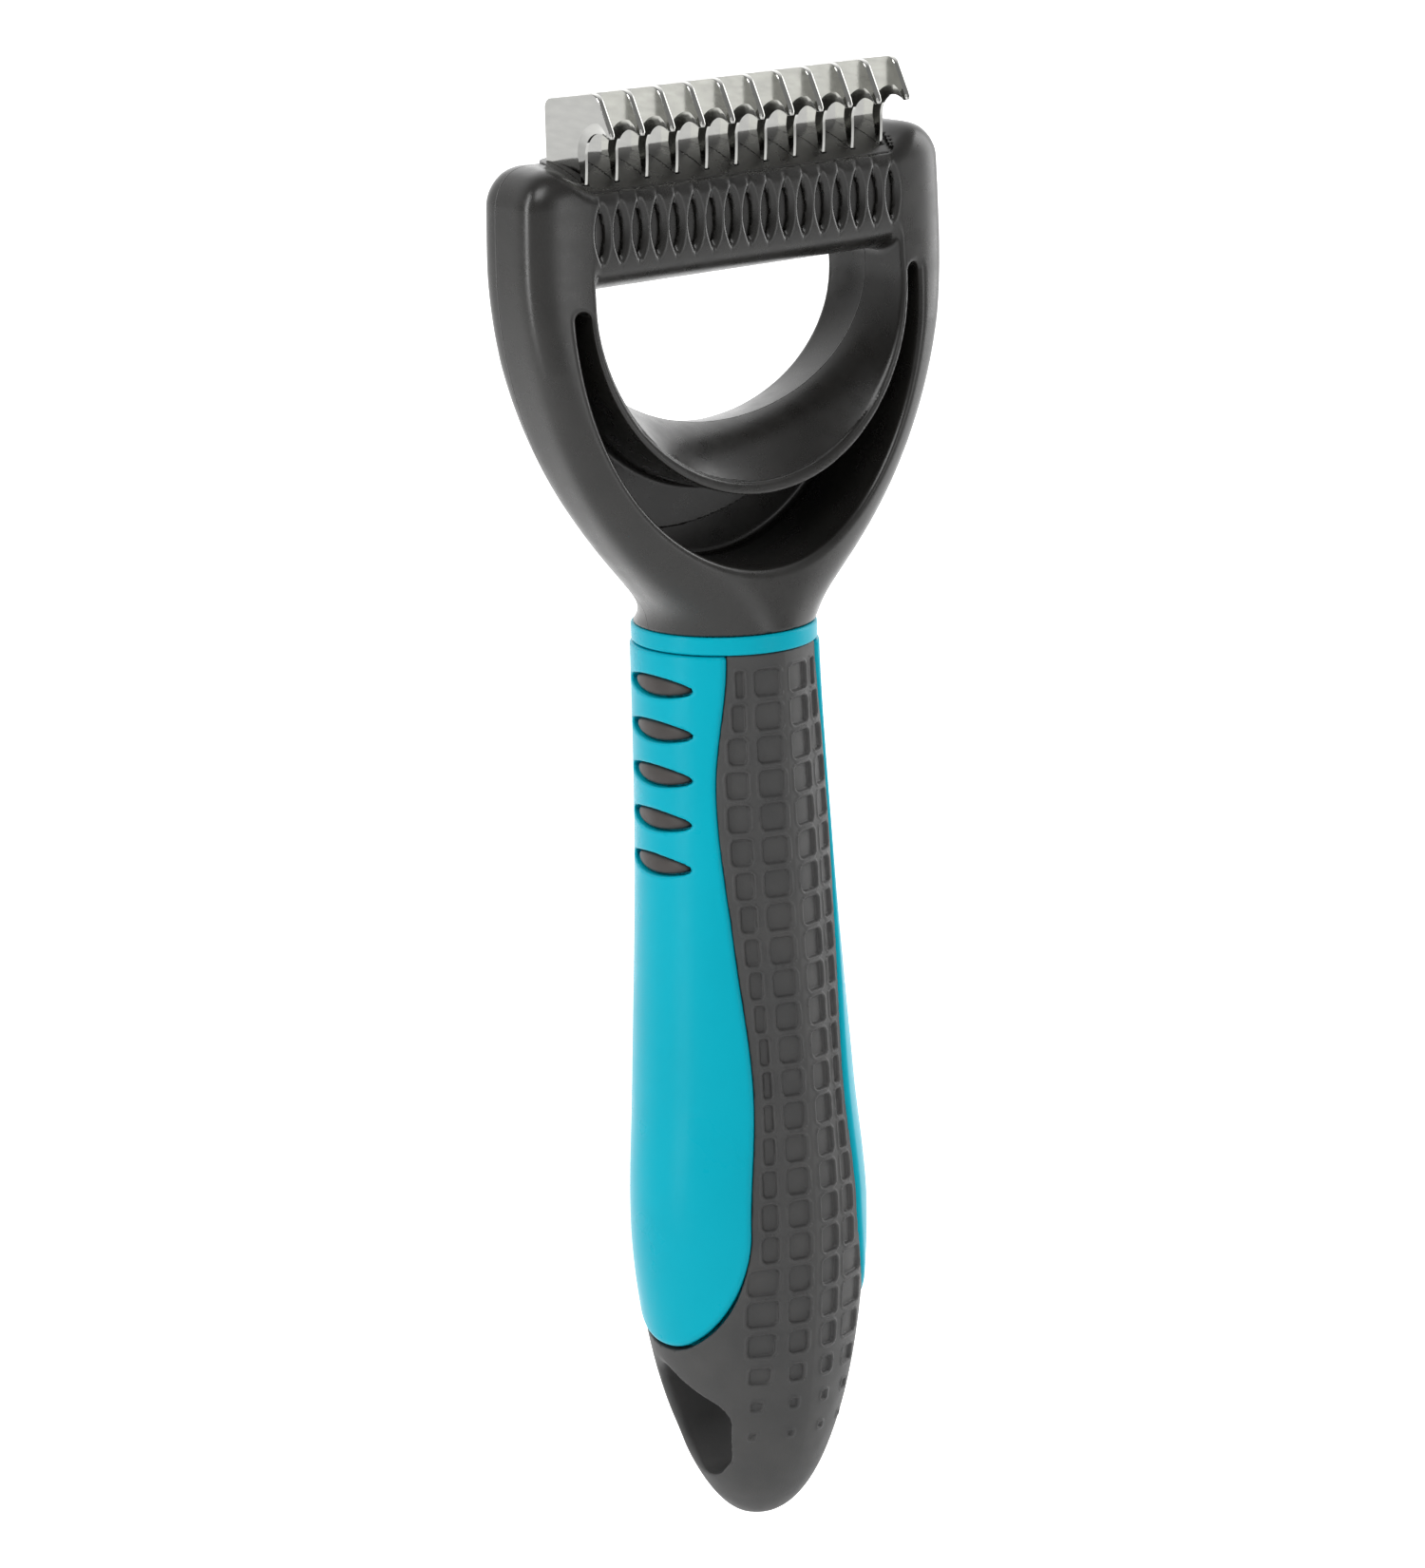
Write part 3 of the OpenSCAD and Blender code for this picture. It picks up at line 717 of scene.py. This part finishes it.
def parting_line(nodes, links, place):
    """Height of the fine flash left where the mould's halves meet: on the outside just behind the
    middle, and inside the finger opening at its crown."""
    away = nodes.new("ShaderNodeVectorMath")
    away.operation = "MULTIPLY_ADD"
    away.inputs[1].default_value = (1, 0, 1)
    away.inputs[2].default_value = (0, 0, -OPENING_Z * MM)
    links.new(place, away.inputs[0])
    length = nodes.new("ShaderNodeVectorMath")
    length.operation = "LENGTH"
    links.new(away.outputs["Vector"], length.inputs[0])
    inside = math_node(nodes, links, "LESS_THAN", length.outputs["Value"], 25.5 * MM)
    parts = nodes.new("ShaderNodeSeparateXYZ")
    links.new(place, parts.inputs["Vector"])
    line_y = math_node(nodes, links, "MULTIPLY", inside, (CROWN_Y - 0.6) * MM)
    off = math_node(nodes, links, "SUBTRACT", parts.outputs["Y"], line_y)
    off = math_node(nodes, links, "ABSOLUTE", math_node(nodes, links, "SUBTRACT", off, 0.6 * MM), 0)
    fade = nodes.new("ShaderNodeMapRange")
    fade.inputs["From Max"].default_value = 0.11 * MM
    fade.inputs["To Min"].default_value = 1
    fade.inputs["To Max"].default_value = 0
    links.new(off, fade.inputs["Value"])
    return fade.outputs["Result"]


def make_material(name, dark, light, rough, grain, mottle=180, metallic=0.0, specular=0.5,
                  stretch=(1, 1, 1), parting=False):
    """Moulded or ground surface: colour and gloss that drift, with a fine grain over them.
    rough is the range of the roughness; grain is the scale and the height of the fine bump, in metres."""
    material = bpy.data.materials.new(name)
    material.use_nodes = True
    nodes, links = material.node_tree.nodes, material.node_tree.links
    shader = nodes["Principled BSDF"]
    shader.inputs["Metallic"].default_value = metallic
    shader.inputs["Specular IOR Level"].default_value = specular
    coordinate = nodes.new("ShaderNodeTexCoord")
    mapping = nodes.new("ShaderNodeMapping")
    mapping.inputs["Scale"].default_value = stretch
    links.new(coordinate.outputs["Object"], mapping.inputs["Vector"])
    place = mapping.outputs["Vector"]
    drift = noise(nodes, links, place, mottle, 3)
    colours = nodes.new("ShaderNodeMix")
    colours.data_type = "RGBA"
    colours.inputs["A"].default_value = (*dark, 1)
    colours.inputs["B"].default_value = (*light, 1)
    links.new(ramp(nodes, links, drift, 0, 1), colours.inputs["Factor"])
    links.new(colours.outputs["Result"], shader.inputs["Base Color"])
    gloss = noise(nodes, links, place, mottle * 2.3, 4)
    links.new(ramp(nodes, links, gloss, *rough), shader.inputs["Roughness"])
    bump = nodes.new("ShaderNodeBump")
    bump.inputs["Distance"].default_value = grain[1]
    bump.inputs["Strength"].default_value = 1
    height = noise(nodes, links, place, grain[0], 4)
    if parting:
        line = math_node(nodes, links, "MULTIPLY", parting_line(nodes, links, place), 0.06 * MM / grain[1])
        height = math_node(nodes, links, "ADD", height, line)
    links.new(height, bump.inputs["Height"])
    links.new(bump.outputs["Normal"], shader.inputs["Normal"])
    return material


SATIN = ((0.013, 0.0125, 0.0115), (0.019, 0.018, 0.0165), (0.25, 0.33), (3800, 0.000008))
CHARCOAL = make_material("charcoal_satin_plastic", *SATIN, specular=0.62)
HEAD_CHARCOAL = make_material("charcoal_satin_plastic_parted", *SATIN, specular=0.62, parting=True)
RUBBER = make_material("grip_rubber", (0.054, 0.054, 0.054), (0.065, 0.064, 0.063),
                       (0.5, 0.6), (5200, 0.00002), specular=0.4)
RIB_RUBBER = make_material("rib_rubber", (0.038, 0.032, 0.029), (0.052, 0.044, 0.040),
                           (0.42, 0.52), (5200, 0.000016), specular=0.4)
TURQUOISE = make_material("turquoise_plastic", (0.0, 0.395, 0.515), (0.0, 0.42, 0.545),
                          (0.26, 0.34), (2600, 0.000005), mottle=60, specular=0.10)
STEEL = make_material("polished_steel", (0.57, 0.57, 0.55), (0.64, 0.64, 0.615),
                      (0.05, 0.10), (1500, 0.0000006), mottle=260, metallic=1.0, stretch=(1, 1, 4))
ROD_STEEL = make_material("rod_steel", (0.45, 0.45, 0.44), (0.56, 0.56, 0.54),
                          (0.22, 0.34), (3000, 0.000003), metallic=1.0, stretch=(8, 1, 1))

# ---------------------------------------------------------------------------------------------
# Pieces
# ---------------------------------------------------------------------------------------------
field_piece("head_frame_moulding", head_field, HEAD_LOW, (*HEAD_HIGH[:2], SHOULDER_Z), GRID,
            "head_frame", HEAD_CHARCOAL)
field_piece("blade_carrier_moulding", carrier_field, CARRIER_LOW, (*CARRIER_HIGH[:2], CREST_Z), FINE_GRID,
            "blade_carrier", CHARCOAL)
for name in BLADES:
    blade_piece(name, STEEL)
bpy.data.objects["blade_rod"].data.materials.clear()
bpy.data.objects["blade_rod"].data.materials.append(ROD_STEEL)
CORE_LOW, CORE_HIGH = mm_box("handle_core")
field_piece("handle_core_moulding", core_field, CORE_LOW, CORE_HIGH, GRID,
            "handle_core", TURQUOISE)
field_piece("collar_ring_moulding", collar_field, COLLAR_LOW, COLLAR_HIGH, FINE_GRID,
            "collar_ring", TURQUOISE)
field_piece("grip_overmould_rubber", overmould_field, GRIP_LOW, GRIP_HIGH, SKIN_GRID,
            "grip_overmould", RUBBER)
for side in ("left", "right"):
    for number in range(1, RIB_COUNT + 1):
        node = "rib_%s_%d" % (side, number)
        low, high = mm_box(node)
        field_piece(node + "_rubber", rib_field(number), low - RIB_REACH, high + RIB_REACH, FINE_GRID,
                    node, RIB_RUBBER)

# ---------------------------------------------------------------------------------------------
# Floor, light and camera
# ---------------------------------------------------------------------------------------------
YAW, ELEVATION, ROLL = math.radians(-38.0), math.radians(13.3), math.radians(-1.71)
DISTANCE = 0.8501
TARGET = Vector((0, 0, 0.03823))
ASIDE = 0.001776                          # the frame's centre lies a little to the right of the object
LENS = 152.29


def aim(obj, place, target, roll=0.0):
    back = (place - target).normalized()
    right = Vector((0, 0, 1)).cross(back).normalized()
    up = back.cross(right)
    turned_right = math.cos(roll) * right + math.sin(roll) * up
    turned_up = math.cos(roll) * up - math.sin(roll) * right
    rotation = Matrix((turned_right, turned_up, back)).transposed().to_4x4()
    obj.matrix_world = Matrix.Translation(place) @ rotation


def add_camera():
    level = math.cos(ELEVATION)
    back = Vector((math.sin(YAW) * level, -math.cos(YAW) * level, math.sin(ELEVATION)))
    data = bpy.data.cameras.new("camera")
    data.lens = LENS
    data.sensor_width = 36
    data.clip_start = 0.01
    camera = bpy.data.objects.new("camera", data)
    bpy.context.scene.collection.objects.link(camera)
    aim(camera, TARGET + back * DISTANCE, TARGET, ROLL)
    right = camera.matrix_world.to_3x3() @ Vector((1, 0, 0))
    camera.matrix_world = Matrix.Translation(-ASIDE * right) @ camera.matrix_world
    bpy.context.scene.camera = camera


def around(azimuth, distance, height):
    """A place round the object: azimuth 0 is in front, at -Y, and 90 at +X."""
    angle = math.radians(azimuth)
    return Vector((distance * math.sin(angle), -distance * math.cos(angle), height))


def add_softbox(name, place, size, radiance):
    """A soft light of a given brightness as the object sees it."""
    data = bpy.data.lights.new(name, "AREA")
    data.shape = "RECTANGLE"
    data.size, data.size_y = size
    data.energy = radiance * math.pi * size[0] * size[1]
    light = bpy.data.objects.new(name, data)
    bpy.context.scene.collection.objects.link(light)
    aim(light, place, TARGET)


FRONT_LIGHT = 0.25                        # brightness of the studio on the camera's side
BACK_LIGHT = 1.8                          # and behind the object
FLOOR_GLOW = 0.6                          # the floor's share of that brightness
FLOOR_DROP = 0.05                         # how far the floor lies below the tail
FLOOR_HALF_W = 6.0


def studio_white(nodes, links, direction):
    """Brightness of the white studio, highest behind the object and lowest on the camera's side."""
    towards_back = nodes.new("ShaderNodeVectorMath")
    towards_back.operation = "DOT_PRODUCT"
    towards_back.inputs[1].default_value = (-math.sin(YAW), math.cos(YAW), 0)
    links.new(direction, towards_back.inputs[0])
    strength = nodes.new("ShaderNodeMapRange")
    strength.inputs["From Min"].default_value = 0
    strength.inputs["From Max"].default_value = 1
    strength.inputs["To Min"].default_value = FRONT_LIGHT
    strength.inputs["To Max"].default_value = BACK_LIGHT
    links.new(towards_back.outputs["Value"], strength.inputs["Value"])
    return strength.outputs["Result"]


def add_floor():
    floor_z = TAIL_Z * MM - FLOOR_DROP
    signs = ((-1, -1), (1, -1), (1, 1), (-1, 1))
    corners = [(x * FLOOR_HALF_W, y * FLOOR_HALF_W, floor_z) for x, y in signs]
    mesh = bpy.data.meshes.new("floor")
    mesh.from_pydata(corners, [], [(0, 1, 2, 3)])
    floor = bpy.data.objects.new("floor", mesh)
    bpy.context.scene.collection.objects.link(floor)
    material = bpy.data.materials.new("floor_white")
    material.use_nodes = True
    nodes, links = material.node_tree.nodes, material.node_tree.links
    shader = nodes["Principled BSDF"]
    shader.inputs["Base Color"].default_value = (0.8, 0.8, 0.8, 1)
    shader.inputs["Roughness"].default_value = 0.9
    shader.inputs["Emission Color"].default_value = (1, 1, 1, 1)
    place = nodes.new("ShaderNodeTexCoord")
    direction = nodes.new("ShaderNodeVectorMath")
    direction.operation = "NORMALIZE"
    links.new(place.outputs["Object"], direction.inputs[0])
    white = studio_white(nodes, links, direction.outputs["Vector"])
    glow = math_node(nodes, links, "MULTIPLY", white, FLOOR_GLOW)
    links.new(glow, shader.inputs["Emission Strength"])
    mesh.materials.append(material)


def add_world():
    world = bpy.data.worlds.new("studio")
    bpy.context.scene.world = world
    world.use_nodes = True
    nodes, links = world.node_tree.nodes, world.node_tree.links
    background = nodes["Background"]
    background.inputs["Color"].default_value = (1, 1, 1, 1)
    direction = nodes.new("ShaderNodeTexCoord")
    links.new(studio_white(nodes, links, direction.outputs["Generated"]), background.inputs["Strength"])


add_floor()
add_camera()
add_world()
add_softbox("left_strip", around(-100, 0.9, 0.3), (0.22, 1.0), 6.0)
add_softbox("right_strip", around(79, 1.0, 0.3), (0.5, 0.8), 3.0)
add_softbox("front_panel", around(14, 0.95, 0.05), (0.3, 0.8), 1.8)
add_softbox("high_panel", around(-42, 0.62, 0.75), (0.5, 0.4), 4.0)
bpy.context.scene.view_settings.view_transform = "Standard"
